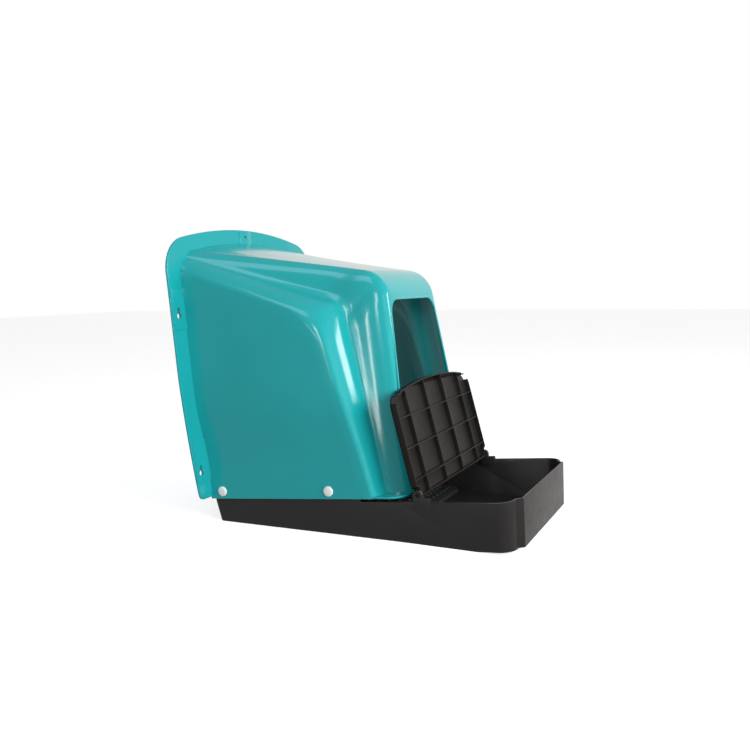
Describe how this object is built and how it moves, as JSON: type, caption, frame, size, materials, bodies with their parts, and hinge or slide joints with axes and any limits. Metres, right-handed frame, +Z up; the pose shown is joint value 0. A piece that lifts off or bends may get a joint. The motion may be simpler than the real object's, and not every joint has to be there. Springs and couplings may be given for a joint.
{
  "type": "nesting box",
  "caption": "Wall-hung roll-away nesting box for hens: moulded hood with a doorway over a sloping tray, and a hinged lid over the egg trough.",
  "frame": {"origin": "centre of the top fixing hole, on the wall plane that the flange's rear face lies in", "axes": "+X across the box to the right of someone who faces the wall, -Y forward from the wall, +Z up"},
  "size_m": [0.4174, 0.486, 0.4969],
  "materials": {
    "hood_plastic": "glossy moulded polypropylene, teal",
    "tray_plastic": "satin moulded polypropylene, black",
    "lid_plastic": "satin moulded polypropylene, black",
    "mat_plastic": "matt moulded polyethylene with nubs, black",
    "rivet_plastic": "smooth moulded nylon, white",
    "socket_plastic": "smooth moulded nylon, white"
  },
  "bodies": {
    "nest": {"hood": "hood_plastic", "tray": "tray_plastic", "nest_mat": "mat_plastic", "rivet_rear_left": "rivet_plastic", "rivet_rear_right": "rivet_plastic", "rivet_front_left": "rivet_plastic", "rivet_front_right": "rivet_plastic", "socket_rear_left": "socket_plastic", "socket_rear_right": "socket_plastic", "socket_front_left": "socket_plastic", "socket_front_right": "socket_plastic"},
    "lid": {"lid": "lid_plastic"}
  },
  "joints": [
    {"name": "lid_hinge", "type": "hinge", "parent": "nest", "child": "lid", "pos_m": [0, -0.3445, -0.408], "axis": [1, 0, 0], "range_deg": [0, 101.5]}
  ]
}
